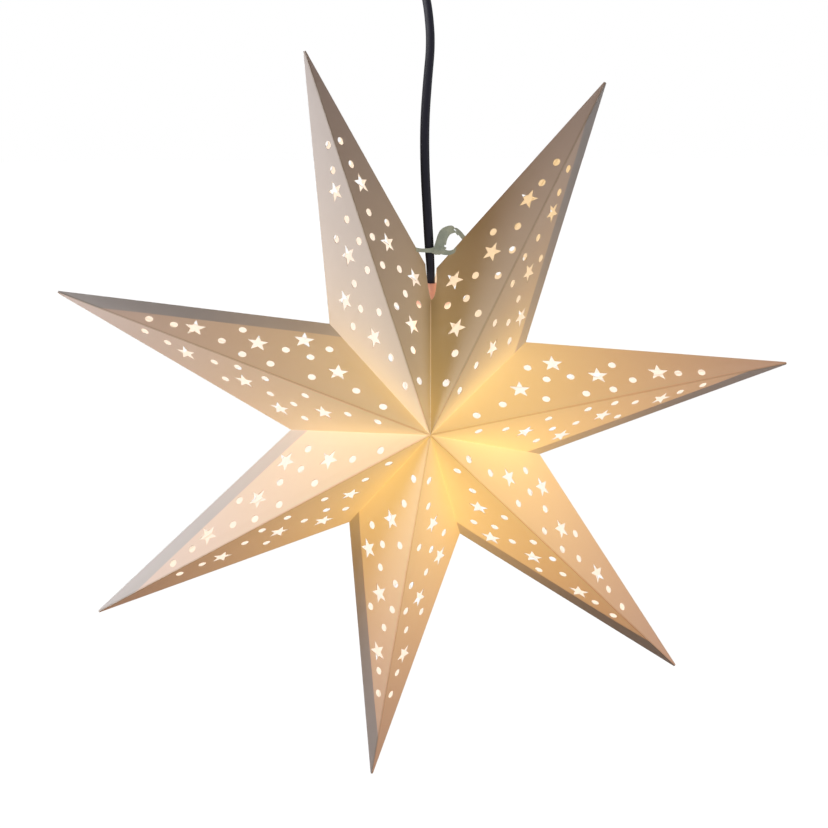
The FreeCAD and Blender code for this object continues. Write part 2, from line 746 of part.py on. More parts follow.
# ================================================================ bulb
def bulb_globe():
    """Blown glass: neck, sweep and globe, open where it goes into the cap."""
    def outline(inset):
        neck = bulb_thread_radius - bulb_cap_wall - bulb_neck_play - inset
        globe = globe_radius - inset
        sweep = neck_sweep + inset
        sweep_x = neck + sweep
        sweep_z = globe_z + sqrt((globe + sweep) ** 2 - sweep_x ** 2)
        share = globe / (globe + sweep)
        join = V(sweep_x * share, 0, globe_z + (sweep_z - globe_z) * share)
        neck_end = V(neck, 0, sweep_z)
        turn = 0.5 * acos((sweep_x - join.x) / sweep)
        mid_sweep = V(sweep_x - sweep * cos(turn), 0, sweep_z - sweep * sin(turn))
        side = V(globe, 0, globe_z)
        bottom = V(0, 0, globe_z - globe)
        return neck, neck_end, mid_sweep, join, side, bottom

    neck, neck_end, mid_sweep, join, side, bottom = outline(0.0)
    neck_in, neck_end_in, mid_sweep_in, join_in, side_in, bottom_in = outline(glass_wall)
    top_z = bulb_cap_end_z + neck_in_cap
    edges = [Part.makeLine(V(neck, 0, top_z), neck_end), Part.Arc(neck_end, mid_sweep, join).toShape(),
             Part.Arc(join, side, bottom).toShape(), Part.makeLine(bottom, bottom_in),
             Part.Arc(bottom_in, side_in, join_in).toShape(),
             Part.Arc(join_in, mid_sweep_in, neck_end_in).toShape(),
             Part.makeLine(neck_end_in, V(neck_in, 0, top_z)),
             Part.makeLine(V(neck_in, 0, top_z), V(neck, 0, top_z))]
    glass = Part.Face(Part.Wire(edges)).revolve(V(0, 0, 0), V(0, 0, 1), 360)
    glass.translate(V(holder_x, 0, 0))
    return glass


def bulb_screw_cap():
    """Threaded cap, drawn as rings one pitch apart."""
    inner = bulb_thread_radius - bulb_cap_wall
    pitch = 2.8
    depth = 0.25
    profile = []
    turns = int(bulb_cap_length / pitch)
    for k in range(turns):
        z = bulb_cap_top_z - k * pitch
        profile += [(bulb_thread_radius - 2 * depth, z), (bulb_thread_radius - depth, z - pitch * 0.5),
                    (bulb_thread_radius - 2 * depth, z - pitch * 0.95)]
    inner_bore = bulb_thread_radius - bulb_cap_wall - 2 * depth
    profile += [(bulb_thread_radius, bulb_cap_top_z - turns * pitch), (bulb_thread_radius, bulb_cap_end_z),
                (inner, bulb_cap_end_z), (inner, bulb_cap_end_z + neck_in_cap + 0.2),
                (inner_bore, bulb_cap_end_z + neck_in_cap + 0.6), (inner_bore, bulb_cap_top_z)]
    return turned(profile, holder_x)


def bulb_insulator():
    """Dark glass between the cap and the tip contact."""
    wide = bulb_thread_radius - 0.5
    return turned([(0, bulb_cap_top_z), (wide, bulb_cap_top_z),
                   (bulb_tip_radius + 0.8, bulb_cap_top_z + bulb_insulator_length),
                   (0, bulb_cap_top_z + bulb_insulator_length)], holder_x)


def bulb_tip():
    base_z = bulb_cap_top_z + bulb_insulator_length
    return turned([(0, base_z), (bulb_tip_radius, base_z), (bulb_tip_radius * 0.6, bulb_top_z), (0, bulb_top_z)],
                  holder_x)


def bulb_stem():
    """Glass stem, flared where it is sealed into the neck."""
    neck_bore = bulb_thread_radius - bulb_cap_wall - bulb_neck_play - glass_wall
    top_z = bulb_cap_end_z + neck_in_cap
    return turned([(0, top_z), (neck_bore, top_z), (neck_bore, top_z - 1.0), (stem_radius, top_z - 7.0),
                   (stem_radius, top_z - stem_length), (0, top_z - stem_length)], holder_x)


def filament_ends(k):
    """Top and bottom of one light stick, leaning outwards as it goes down."""
    angle = 2 * pi * (k + 0.5) / filament_count
    top_z = bulb_cap_end_z + neck_in_cap - stem_length + 2.0
    lean = (filament_end_ring - filament_top_ring) / filament_length
    drop = filament_length * sqrt(1.0 - lean ** 2)
    top = V(holder_x + filament_top_ring * cos(angle), filament_top_ring * sin(angle), top_z)
    end = V(holder_x + filament_end_ring * cos(angle), filament_end_ring * sin(angle), top_z - drop)
    return top, end


def bulb_filaments():
    return Part.makeCompound([rod(filament_radius, *filament_ends(k)) for k in range(filament_count)])


def bulb_leads():
    """Wires: from the stem out to each stick's top, and a ring that joins the lower ends."""
    stem_z = bulb_cap_end_z + neck_in_cap - stem_length + 5.0
    wires = []
    for k in range(filament_count):
        top, end = filament_ends(k)
        stick = unit(end - top)
        start = V(holder_x, 0, stem_z) + unit(V(top.x - holder_x, top.y, 0)) * (stem_radius + 0.3)
        finish = top - stick * 0.05
        wires.append(rod(lead_radius, start, finish - stick * lead_radius))
    low = filament_ends(0)[1].z - lead_radius - 0.3
    ring = Part.makeTorus(filament_end_ring, lead_radius, V(holder_x, 0, low - 0.15))
    wires.append(ring)
    return Part.makeCompound(wires)


def bulb_driver():
    """Small circuit board with its parts, inside the cap."""
    low = bulb_cap_end_z + neck_in_cap + 0.8
    half_x = driver_width / 2
    board = box((holder_x - half_x, holder_x + half_x), (-0.8, 0.8), (low, low + driver_height))
    half_y = driver_depth / 2
    part_one = box((holder_x - 2.4, holder_x + 2.4), (-half_y, half_y), (low + 1.0, low + 5.5))
    part_two = Part.makeCylinder(1.9, 4.0, V(holder_x, 0, low + 6.3))
    return board.fuse([part_one, part_two]).removeSplitter()


# ================================================================ write every node
os.makedirs("parts", exist_ok=True)

save("ceiling_plate", ceiling_plate())
save("rose_cover", rose_cover())
save("cover_screws", cover_screws())
save("terminal_block", terminal_block())
save("terminal_screws", terminal_screws())
save("block_screw", block_screw())
save("cord_gland", cord_gland())
save("gland_nut", gland_nut())
save("flex_in_rose", flex_in_rose())
save("rose_wires", rose_wires())
save("flex", flex())
save("holder_cap", holder_cap())
save("grip_screw", grip_screw())
save("holder_skirt", holder_skirt())
save("holder_insert", holder_insert())
save("screw_shell", screw_shell())
save("centre_contact", centre_contact())
save("holder_terminal_screws", holder_terminal_screws())
save("holder_wires", holder_wires())
save("bulb_globe", bulb_globe())
save("bulb_screw_cap", bulb_screw_cap())
save("bulb_insulator", bulb_insulator())
save("bulb_tip", bulb_tip())
save("bulb_stem", bulb_stem())
save("bulb_filaments", bulb_filaments())
save("bulb_leads", bulb_leads())
save("bulb_driver", bulb_driver())
for number in range(arm_count):
    save("arm_%d" % (number + 1), arm(number))
ribbon_left, ribbon_right = ribbons()
save("tie_ribbon_left", ribbon_left)
save("tie_ribbon_right", ribbon_right)

print("star centre", star_centre, "holder x %.2f shoulder z %.2f" % (holder_x, shoulder_z))
print("bulb globe centre z %.2f, flex end z %.2f" % (globe_z, flex_end_z))
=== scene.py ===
import json
import random
from math import atan2, cos, pi, radians, sin, tau

import bmesh
import bpy
from mathutils import Euler, Matrix, Vector


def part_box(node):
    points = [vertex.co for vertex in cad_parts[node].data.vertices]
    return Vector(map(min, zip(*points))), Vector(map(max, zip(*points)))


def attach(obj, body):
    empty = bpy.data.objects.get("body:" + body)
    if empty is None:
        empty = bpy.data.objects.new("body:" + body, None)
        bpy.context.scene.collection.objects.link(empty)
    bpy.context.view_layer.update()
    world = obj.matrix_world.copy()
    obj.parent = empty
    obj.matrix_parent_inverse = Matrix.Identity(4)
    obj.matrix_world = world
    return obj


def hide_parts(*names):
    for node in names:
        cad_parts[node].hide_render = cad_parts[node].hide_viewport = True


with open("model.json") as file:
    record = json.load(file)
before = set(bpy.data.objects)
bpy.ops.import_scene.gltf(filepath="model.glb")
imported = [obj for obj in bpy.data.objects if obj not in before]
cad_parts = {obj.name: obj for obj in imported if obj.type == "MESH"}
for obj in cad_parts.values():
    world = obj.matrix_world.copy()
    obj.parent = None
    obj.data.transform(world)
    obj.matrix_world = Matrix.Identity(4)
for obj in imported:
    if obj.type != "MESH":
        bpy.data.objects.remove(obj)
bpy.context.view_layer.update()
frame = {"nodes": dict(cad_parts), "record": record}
MM = 0.001

# ---------------------------------------------------------------- sizes shared with the solids
TIP_RADIUS = 300 * MM
NOTCH_RADIUS = 101.4 * MM
SEAM_NOTCH_RADIUS = 111.4 * MM
HALF_DEPTH = 85 * MM
SEAM_GAP = 46.4
STAR_LEAN = 5.96
SEAM_BEARING = 4.7
ARM_DRIFT = [0.0, 1.4, 1.5, 1.5, 0.7, -0.6, 0.0]
ARM_COUNT = len(ARM_DRIFT)
CARD = 0.45 * MM
TIP_BLUNT = 4.5 * MM
GLUE_BAND = 12.7 * MM
SEAM_OPENING = 0.12 * MM
SLOT_HALF_WIDTH = 4.3 * MM
SLOT_HALF_LENGTH = 14.7 * MM
DOTS = [(0.134, 0.35), (0.211, 0.35), (0.321, 0.70), (0.324, 0.18), (0.352, 0.43), (0.415, 0.44),
        (0.430, 0.15), (0.503, 0.15), (0.535, 0.62), (0.565, 0.28), (0.690, 0.33), (0.751, 0.28)]
STARS = [(0.273, 0.47), (0.388, 0.66), (0.484, 0.43), (0.640, 0.40)]
DOT_RADIUS = 3.1 * MM
STAR_RADIUS = 8.7 * MM
STAR_WAIST = 0.42

# the star's centre, and places read from the frame
STAR = Vector((-3.0 * MM, 0, -389.0 * MM))
holder_low, holder_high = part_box("holder_skirt")
HOLDER_X = (holder_low.x + holder_high.x) / 2
globe_low, globe_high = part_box("bulb_globe")
BULB = Vector((HOLDER_X, 0, globe_low.z + (globe_high.x - globe_low.x) / 2))
GLAND_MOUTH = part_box("gland_nut")[0].z
NECK_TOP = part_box("holder_cap")[1].z
FLEX_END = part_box("flex")[0].z


# ================================================================ camera
def make_camera():
    """Where the photo was taken from: 1.73 m away, 10 degrees above, 5.5 degrees to the left."""
    yaw, pitch, distance = radians(5.487), radians(10.16), 1.73
    right = Vector((cos(yaw), -sin(yaw), 0))
    forward = Vector((sin(yaw) * cos(pitch), cos(yaw) * cos(pitch), -sin(pitch)))
    up = right.cross(forward)
    data = bpy.data.cameras.new("camera")
    data.sensor_width = 36
    data.lens = 95.8
    data.clip_start = 0.05
    camera = bpy.data.objects.new("camera", data)
    bpy.context.scene.collection.objects.link(camera)
    off_centre = right * (-4.08 * MM) + up * (0.86 * MM)
    camera.location = STAR - forward * distance + off_centre
    camera.rotation_euler = Euler((pi / 2 - pitch, 0, -yaw))
    bpy.context.scene.camera = camera


# ================================================================ operators
def deselect():
    bpy.ops.object.select_all(action="DESELECT")


def only(obj):
    """Make one object the selected and active one."""
    deselect()
    obj.select_set(True)
    bpy.context.view_layer.objects.active = obj


def edit(obj):
    """Open the object's mesh for editing by its corners."""
    only(obj)
    bpy.ops.object.mode_set(mode="EDIT")
    bpy.ops.mesh.select_mode(type="VERT")


def leave():
    bpy.ops.object.mode_set(mode="OBJECT")


def apply_place(obj):
    """Put the object's place into its mesh."""
    only(obj)
    bpy.ops.object.transform_apply(location=True, rotation=True, scale=True)


def modifier(obj, kind, **settings):
    """Add a modifier with its settings and apply it."""
    made = obj.modifiers.new(kind.lower(), kind)
    for key, value in settings.items():
        setattr(made, key, value)
    only(obj)
    bpy.ops.object.modifier_apply(modifier=made.name)


def dress(obj, body, slot, material, *nodes):
    """Ride on a body, take a material, and stand for the named solids. The slot argument is not used."""
    obj.data.materials.clear()
    obj.data.materials.append(material)
    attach(obj, body)
    if nodes:
        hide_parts(*nodes)


# ================================================================ node helpers
def new_group(name, inputs, outputs):
    """An empty shader node group with named sockets, given as (type, name, default)."""
    group = bpy.data.node_groups.new(name, "ShaderNodeTree")
    for kind, socket, default in inputs:
        made = group.interface.new_socket(socket, in_out="INPUT", socket_type="NodeSocket" + kind)
        made.default_value = default
    for kind, socket in outputs:
        group.interface.new_socket(socket, in_out="OUTPUT", socket_type="NodeSocket" + kind)
    return group, group.nodes.new("NodeGroupInput"), group.nodes.new("NodeGroupOutput")


class Graph:
    """Short calls that add a node and link what is given to it."""

    def __init__(self, tree):
        self.tree = tree

    def link(self, value, socket):
        if hasattr(value, "is_output"):
            self.tree.links.new(value, socket)
        elif value is not None:
            socket.default_value = value

    def math(self, operation, *values, clamp=False):
        node = self.tree.nodes.new("ShaderNodeMath")
        node.operation = operation
        node.use_clamp = clamp
        for value, socket in zip(values, node.inputs):
            self.link(value, socket)
        return node.outputs[0]

    def vector(self, operation, *values):
        node = self.tree.nodes.new("ShaderNodeVectorMath")
        node.operation = operation
        for value, socket in zip(values, node.inputs):
            self.link(value, socket)
        single = operation in ("DOT_PRODUCT", "LENGTH", "DISTANCE")
        return node.outputs["Value" if single else "Vector"]

    def ramp(self, value, low, high, start=0.0, end=1.0, smooth=True):
        """Map a value from low..high to start..end, held at both ends."""
        node = self.tree.nodes.new("ShaderNodeMapRange")
        node.interpolation_type = "SMOOTHSTEP" if smooth else "LINEAR"
        for given, socket in zip((value, low, high, start, end), node.inputs):
            self.link(given, socket)
        return node.outputs[0]

    def mix(self, share, first, second, blend="MIX"):
        node = self.tree.nodes.new("ShaderNodeMix")
        node.data_type = "RGBA"
        node.blend_type = blend
        node.clamp_factor = True
        self.link(share, node.inputs[0])
        self.link(first, node.inputs[6])
        self.link(second, node.inputs[7])
        return node.outputs[2]

    def scale(self, vector, factor):
        node = self.tree.nodes.new("ShaderNodeVectorMath")
        node.operation = "SCALE"
        self.link(vector, node.inputs[0])
        self.link(factor, node.inputs["Scale"])
        return node.outputs[0]

    def noise(self, place, scale, detail=2.0, roughness=0.5, stretch=None):
        if stretch:
            mapping = self.tree.nodes.new("ShaderNodeMapping")
            self.link(place, mapping.inputs["Vector"])
            mapping.inputs["Scale"].default_value = stretch
            place = mapping.outputs[0]
        node = self.tree.nodes.new("ShaderNodeTexNoise")
        self.link(place, node.inputs["Vector"])
        node.inputs["Scale"].default_value = scale
        node.inputs["Detail"].default_value = detail
        node.inputs["Roughness"].default_value = roughness
        return node.outputs["Fac"]

    def colour(self, shade):
        node = self.tree.nodes.new("ShaderNodeRGB")
        node.outputs[0].default_value = shade
        return node.outputs[0]

    def coordinates(self, output="Object"):
        return self.tree.nodes.new("ShaderNodeTexCoord").outputs[output]

    def uv(self, name):
        node = self.tree.nodes.new("ShaderNodeUVMap")
        node.uv_map = name
        return node.outputs[0]

    def split(self, value):
        node = self.tree.nodes.new("ShaderNodeSeparateXYZ")
        self.link(value, node.inputs[0])
        return node.outputs

    def use(self, group, **values):
        """Place a node group; spaces in socket names are written as underscores."""
        node = self.tree.nodes.new("ShaderNodeGroup")
        node.node_tree = group
        for key, value in values.items():
            self.link(value, node.inputs[key.replace("_", " ")])
        return node.outputs

    def bump(self, height, distance, strength=1.0):
        node = self.tree.nodes.new("ShaderNodeBump")
        node.inputs["Strength"].default_value = strength
        node.inputs["Distance"].default_value = distance
        self.link(height, node.inputs["Height"])
        return node.outputs[0]


def new_material(name, colour, roughness=0.5, metallic=0.0, **settings):
    """A material with its shader, and the graph that goes with it."""
    material = bpy.data.materials.new(name)
    material.use_nodes = True
    graph = Graph(material.node_tree)
    shader = material.node_tree.nodes["Principled BSDF"]
    graph.link(colour, shader.inputs["Base Color"])
    shader.inputs["Roughness"].default_value = roughness
    shader.inputs["Metallic"].default_value = metallic
    for key, value in settings.items():
        shader.inputs[key.replace("_", " ")].default_value = value
    return material, graph, shader


def rgb(red, green, blue):
    """A display colour, 0 to 255, as the linear colour that a shader takes."""
    def linear(value):
        share = value / 255
        return share / 12.92 if share <= 0.04045 else ((share + 0.055) / 1.055) ** 2.4
    return (linear(red), linear(green), linear(blue), 1.0)


# ================================================================ shared effects
FINISH_IN = [("Vector", "Place", (0, 0, 0)), ("Color", "Colour", (0.5, 0.5, 0.5, 1)), ("Float", "Roughness", 0.4)]
FINISH_OUT = [("Color", "Colour"), ("Float", "Roughness"), ("Float", "Height")]


def card_fibre_group():
    """Paper: cloudy pulp, fine fibres and a light tooth."""
    group, given, out = new_group("card fibre", [("Vector", "Place", (0, 0, 0)), ("Float", "Cloud", 0.06)],
                                  [("Float", "Shade"), ("Float", "Height")])
    g = Graph(group)
    place = given.outputs["Place"]
    cloud = g.noise(place, 90, 3.0, 0.6)
    fibre = g.noise(place, 900, 3.0, 0.7, (1.0, 0.35, 1.6))
    tooth = g.noise(place, 2600, 1.0)
    both = g.math("ADD", g.math("MULTIPLY", cloud, 0.6), g.math("MULTIPLY", fibre, 0.4))
    swing = g.math("MULTIPLY", g.math("SUBTRACT", both, 0.5), given.outputs["Cloud"])
    g.link(g.math("ADD", swing, 1.0), out.inputs["Shade"])
    height = g.math("ADD", g.math("MULTIPLY", fibre, 0.7), g.math("MULTIPLY", tooth, 0.3))
    g.link(height, out.inputs["Height"])
    return group


def lit_card_group():
    """Painted glow: lamp light that comes through the card, given as emission from the distance and direction to
    the bulb, and where a point lies as the bulb sees it.
    """
    group, given, out = new_group("lit card", [("Vector", "Place", (0, 0, 0)), ("Vector", "Bulb", BULB)],
                                  [("Color", "Glow"), ("Float", "Distance"), ("Float", "Upper")])
    g = Graph(group)
    from_bulb = g.vector("SUBTRACT", given.outputs["Place"], given.outputs["Bulb"])
    distance = g.vector("LENGTH", from_bulb)
    # the direction as the viewer sees it, which fades out right in front of the bulb
    flat = g.vector("MULTIPLY", from_bulb, (1.0, 0.0, 1.0))
    toward = g.scale(flat, g.math("DIVIDE", 1.0, g.math("ADD", g.vector("LENGTH", flat), 0.012)))
    upward = g.split(toward)[2]
    # painted shadow of the lampholder on the upper arms, and painted glow stronger towards the lower right, where
    # the bulb hangs
    shadow = g.ramp(upward, 0.3, 0.95, 1.0, 0.45)
    favoured = g.vector("DOT_PRODUCT", toward, (0.609, 0.0, -0.793))
    side = g.math("MULTIPLY_ADD", favoured, 0.371, 1.0)
    spread = g.math("MULTIPLY", shadow, side)
    glow = group.nodes.new("ShaderNodeCombineColor")
    # each colour's strength at the bulb, and the distance in metres over which it falls to a third
    for socket, (strength, reach) in zip(glow.inputs, ((0.916, 0.227), (0.591, 0.175), (0.131, 0.253))):
        fall = g.math("EXPONENT", g.math("DIVIDE", distance, -reach))
        g.link(g.math("MULTIPLY", g.math("MULTIPLY", fall, strength), spread), socket)
    g.link(glow.outputs[0], out.inputs["Glow"])
    g.link(distance, out.inputs["Distance"])
    g.link(g.ramp(g.vector("DOT_PRODUCT", toward, (0.34, 0.0, 0.94)), 0.6, 1.0), out.inputs["Upper"])
    return group


def plastic_grain_group():
    """Moulded plastic: faint orange peel and a little dust in the grain."""
    group, given, out = new_group("moulded grain", FINISH_IN, FINISH_OUT)
    g = Graph(group)
    place = given.outputs["Place"]
    peel = g.noise(place, 700, 2.0)
    dust = g.ramp(g.noise(place, 60, 4.0, 0.65), 0.5, 0.8)
    dusty = g.mix(g.math("MULTIPLY", dust, 0.12), given.outputs["Colour"], (0.45, 0.43, 0.40, 1))
    g.link(dusty, out.inputs["Colour"])
    rough = g.math("ADD", given.outputs["Roughness"], g.math("MULTIPLY", g.math("SUBTRACT", peel, 0.4), 0.25))
    g.link(rough, out.inputs["Roughness"])
    g.link(peel, out.inputs["Height"])
    return group


def metal_wear_group():
    """Metal: tarnish clouds and fine turning scratches."""
    group, given, out = new_group("metal wear", FINISH_IN, FINISH_OUT)
    g = Graph(group)
    place = given.outputs["Place"]
    tarnish = g.ramp(g.noise(place, 180, 4.0, 0.6), 0.4, 0.75)
    scratch = g.noise(place, 1500, 2.0, 0.6, (1.0, 1.0, 6.0))
    dull = g.mix(1.0, given.outputs["Colour"], (0.62, 0.58, 0.54, 1), "MULTIPLY")
    worn = g.mix(g.math("MULTIPLY", tarnish, 0.6), given.outputs["Colour"], dull)
    g.link(worn, out.inputs["Colour"])
    rough = g.math("ADD", given.outputs["Roughness"], g.math("MULTIPLY", scratch, 0.2))
    g.link(rough, out.inputs["Roughness"])
    g.link(scratch, out.inputs["Height"])
    return group


# ================================================================ materials
def card_material(fibre, lit):
    """White card, lit by the room outside, with the bulb's light from inside painted on as emission."""
    material, g, shader = new_material("star card", None, 0.8, Specular_IOR_Level=0.25)
    place = g.coordinates()
    grain = g.use(fibre, Place=place)
    glow = g.use(lit, Place=place)
    along, ridge_distance, _ = g.split(g.uv("card"))
    rim_distance, valley_distance, _ = g.split(g.uv("rim"))
    # painted crease shade along the ridge fold
    fold = g.ramp(ridge_distance, 0.0002, 0.0020, 1.0, 0.0)
    valley = g.ramp(valley_distance, 0.0004, 0.0016, 1.0, 0.0)
    flap = g.ramp(rim_distance, GLUE_BAND, GLUE_BAND + 0.0012, 1.0, 0.0)
    # painted shade beside the tied seam, fading out within 13 mm of it and close to the bulb
    beside_seam = g.math("GREATER_THAN", rim_distance, SEAM_MARK - 0.5)
    seam = g.math("MULTIPLY", beside_seam, g.ramp(valley_distance, 0.0, 0.013, 1.0, 0.0))
    seam = g.math("MULTIPLY", seam, g.ramp(glow["Distance"], 0.05, 0.085))

    shade = g.tree.nodes.new("ShaderNodeCombineColor")
    for socket in shade.inputs[:3]:
        g.link(grain["Shade"], socket)
    # painted crease shade: the card's colour is darker along the ridge fold
    paper = g.mix(fold, rgb(214, 210, 209), rgb(190, 184, 178))
    # painted shade: the card's colour is darker beside the tied seam
    paper = g.mix(g.math("MULTIPLY", seam, 0.3), paper, rgb(176, 168, 158))
    g.link(g.mix(1.0, paper, shade.outputs[0], "MULTIPLY"), shader.inputs["Base Color"])

    # painted glow on the outside of the card: dimmer where the card is doubled, at the ridge fold and beside the
    # seam, a little brighter along the valleys
    far = g.ramp(glow["Distance"], 0.10, 0.24)
    doubled = g.math("MULTIPLY", flap, g.ramp(far, 0.0, 1.0, 0.58, 0.80))
    kept = g.math("SUBTRACT", 1.0, g.math("MAXIMUM", doubled, g.math("MULTIPLY", fold, 0.17)))
    kept = g.math("MULTIPLY", kept, g.math("SUBTRACT", 1.0, g.math("MULTIPLY", seam, 0.30)))
    # painted light: the glow is a little brighter along the valley folds, where light leaks between the arms
    kept = g.math("MULTIPLY", kept, g.ramp(valley, 0.0, 1.0, 1.0, 1.06))
    outside = g.scale(glow["Glow"], g.math("MULTIPLY", kept, grain["Shade"]))
    # painted light on the inside faces, for the lit inside seen through the holes: white, creamier towards the
    # tips and in the upper arms
    inner = g.mix(g.ramp(glow["Distance"], 0.05, 0.24), (0.45, 0.42, 0.38, 1), (0.44, 0.375, 0.30, 1))
    inner = g.mix(glow["Upper"], inner, (0.36, 0.255, 0.12, 1))
    inside = g.tree.nodes.new("ShaderNodeAttribute")
    inside.attribute_name = "inside"
    g.link(g.mix(inside.outputs["Fac"], outside, inner), shader.inputs["Emission Color"])
    shader.inputs["Emission Strength"].default_value = 1.0
    g.link(g.bump(grain["Height"], 0.00006, 0.5), shader.inputs["Normal"])
    return material


def finished(name, colour, roughness, effect, depth, strength, metallic=0.0):
    """A material whose colour, roughness and relief come from a shared effect."""
    material, g, shader = new_material(name, None, roughness, metallic)
    made = g.use(effect, Place=g.coordinates(), Colour=colour, Roughness=roughness)
    g.link(made["Colour"], shader.inputs["Base Color"])
    g.link(made["Roughness"], shader.inputs["Roughness"])
    g.link(g.bump(made["Height"], depth, strength), shader.inputs["Normal"])
    return material


def plastic(name, colour, roughness, grain):
    return finished(name, colour, roughness, grain, 0.00004, 0.4)


def metal(name, colour, roughness, wear):
    return finished(name, colour, roughness, wear, 0.00002, 0.3, metallic=1.0)


def lampholder_plastic(grain):
    """Pale plastic with the bulb's light painted on as emission: dim and reddish at its neck, brighter and nearly
    white further down towards the bulb.
    """
    material = plastic("lampholder moulding", rgb(206, 164, 146), 0.32, grain)
    g = Graph(material.node_tree)
    shader = material.node_tree.nodes["Principled BSDF"]
    height = g.split(g.coordinates())[2]
    neck = g.ramp(height, FLEX_END - 6 * MM, FLEX_END - 1 * MM)
    # painted light: a warm glow from the bulb, reddish at the neck and brighter below
    g.link(g.mix(neck, (0.75, 0.62, 0.44, 1), (0.20, 0.06, 0.04, 1)), shader.inputs["Emission Color"])
    shader.inputs["Emission Strength"].default_value = 1.0
    return material


def flex_material():
    """Smooth black cable sheath with faint scuffs along it."""
    material, g, shader = new_material("flex sheath", None, 0.5, Specular_IOR_Level=0.25)
    place = g.coordinates()
    scuff = g.ramp(g.noise(place, 260, 4.0, 0.7, (1.0, 1.0, 0.25)), 0.5, 0.8)
    colour = g.mix(g.math("MULTIPLY", scuff, 0.2), rgb(34, 33, 48), rgb(70, 69, 84))
    g.link(colour, shader.inputs["Base Color"])
    g.link(g.ramp(scuff, 0.0, 1.0, 0.46, 0.62), shader.inputs["Roughness"])
    g.link(g.bump(g.noise(place, 1400, 2.0), 0.00003, 0.4), shader.inputs["Normal"])
    return material


def ribbon_material():
    """Woven tape: fine ribs along its length."""
    material, g, shader = new_material("tie tape", None, 0.85, Specular_IOR_Level=0.2, Sheen_Weight=0.25)
    place = g.coordinates()
    along, across, _ = g.split(g.uv("tape"))
    rib = g.math("SINE", g.math("MULTIPLY", along, tau / 0.0006))
    warp = g.math("SINE", g.math("MULTIPLY", across, tau / 0.0005))
    weave = g.math("MULTIPLY", rib, warp)
    cloud = g.noise(place, 140, 3.0, 0.6)
    shade = g.math("ADD", g.math("MULTIPLY", weave, 0.18), cloud, clamp=True)
    # painted shade: the white tape's colour is given as darker grey-green tones, shaded to lit, picked between by
    # weave and clouds
    colour = g.mix(shade, rgb(150, 158, 142), rgb(204, 208, 190))
    g.link(colour, shader.inputs["Base Color"])
    # painted light: the emission stands for daylight coming through the thin weave
    g.link(g.scale(colour, 0.34), shader.inputs["Emission Color"])     # daylight through the thin weave
    shader.inputs["Emission Strength"].default_value = 1.0
    g.link(g.bump(weave, 0.00012, 0.6), shader.inputs["Normal"])
    return material


def glass_material(name, colour):
    """Clear glass with a faint haze of dust."""
    material, g, shader = new_material(name, colour, Transmission_Weight=1.0, IOR=1.45)
    g.link(g.ramp(g.noise(g.coordinates(), 40, 3.0), 0.4, 0.8, 0.015, 0.05), shader.inputs["Roughness"])
    return material


def glowing(name, colour, strength):
    """A lit phosphor coat with a little mottling."""
    material, g, shader = new_material(name, colour, 0.6)
    mottle = g.ramp(g.noise(g.coordinates(), 900, 2.0), 0.3, 0.7, 0.85, 1.0)
    g.link(g.scale(colour[:3], mottle), shader.inputs["Emission Color"])
    shader.inputs["Emission Strength"].default_value = strength
    return material


def make_materials():
    grain = plastic_grain_group()
    wear = metal_wear_group()
    return {
        "paper_outside": card_material(card_fibre_group(), lit_card_group()),
        "flex_pvc": flex_material(),
        "ribbon": ribbon_material(),
        "rose_plastic": plastic("rose moulding", rgb(30, 30, 33), 0.35, grain),
        "gland_plastic": plastic("gland nylon", rgb(26, 26, 29), 0.5, grain),
        "holder_plastic": lampholder_plastic(grain),
        "insert_plastic": plastic("lampholder insert", rgb(228, 225, 216), 0.45, grain),
        "terminal_plastic": plastic("terminal block", rgb(224, 221, 210), 0.5, grain),
        "core_insulation": plastic("core sleeving", rgb(120, 62, 30), 0.45, grain),
        "nylon": plastic("grub screw nylon", rgb(222, 218, 206), 0.5, grain),
        "circuit_board": plastic("driver board", rgb(40, 92, 52), 0.5, grain),
        "black_glass": plastic("cap insulator", rgb(18, 18, 22), 0.15, grain),
        "plate_steel": metal("zinced plate", rgb(196, 198, 196), 0.35, wear),
        "screw_steel": metal("screw steel", rgb(190, 190, 186), 0.3, wear),
        "brass": metal("brass", rgb(210, 172, 96), 0.3, wear),
        "bulb_cap_metal": metal("bulb cap", rgb(205, 205, 200), 0.25, wear),
        "lead_wire": metal("lead wire", rgb(170, 165, 158), 0.35, wear),
        "bulb_glass": glass_material("globe glass", (0.97, 0.98, 1.0, 1)),
        "stem_glass": glass_material("stem glass", (0.93, 0.96, 0.97, 1)),
        "filament_phosphor": glowing("light stick", (1.0, 0.72, 0.30, 1), 12.0),
    }


# ================================================================ star geometry
def bearing(angle, radius):
    return Vector((radius * sin(radians(angle)), 0, radius * cos(radians(angle))))


STEP = (360.0 - SEAM_GAP) / (ARM_COUNT - 1)
ANGLES = [STAR_LEAN + SEAM_GAP / 2 + i * STEP + drift for i, drift in enumerate(ARM_DRIFT)]
TIPS = [bearing(angle, TIP_RADIUS) for angle in ANGLES]
NOTCHES = [bearing((a + b) / 2, NOTCH_RADIUS) for a, b in zip(ANGLES, ANGLES[1:])]
NOTCHES.append(bearing(SEAM_BEARING, SEAM_NOTCH_RADIUS))
FRONT = Vector((0, -HALF_DEPTH, 0))
BACK = Vector((0, HALF_DEPTH, 0))


def face_axes(apex, tip, notch):
    """Along the ridge, across to the notch and outwards, for one face of an arm."""
    along = (tip - apex).normalized()
    rest = notch - apex
    across = (rest - along * rest.dot(along)).normalized()
    out = along.cross(across)
    if out.dot(apex) < 0:
        out = -out
    return along, across, out


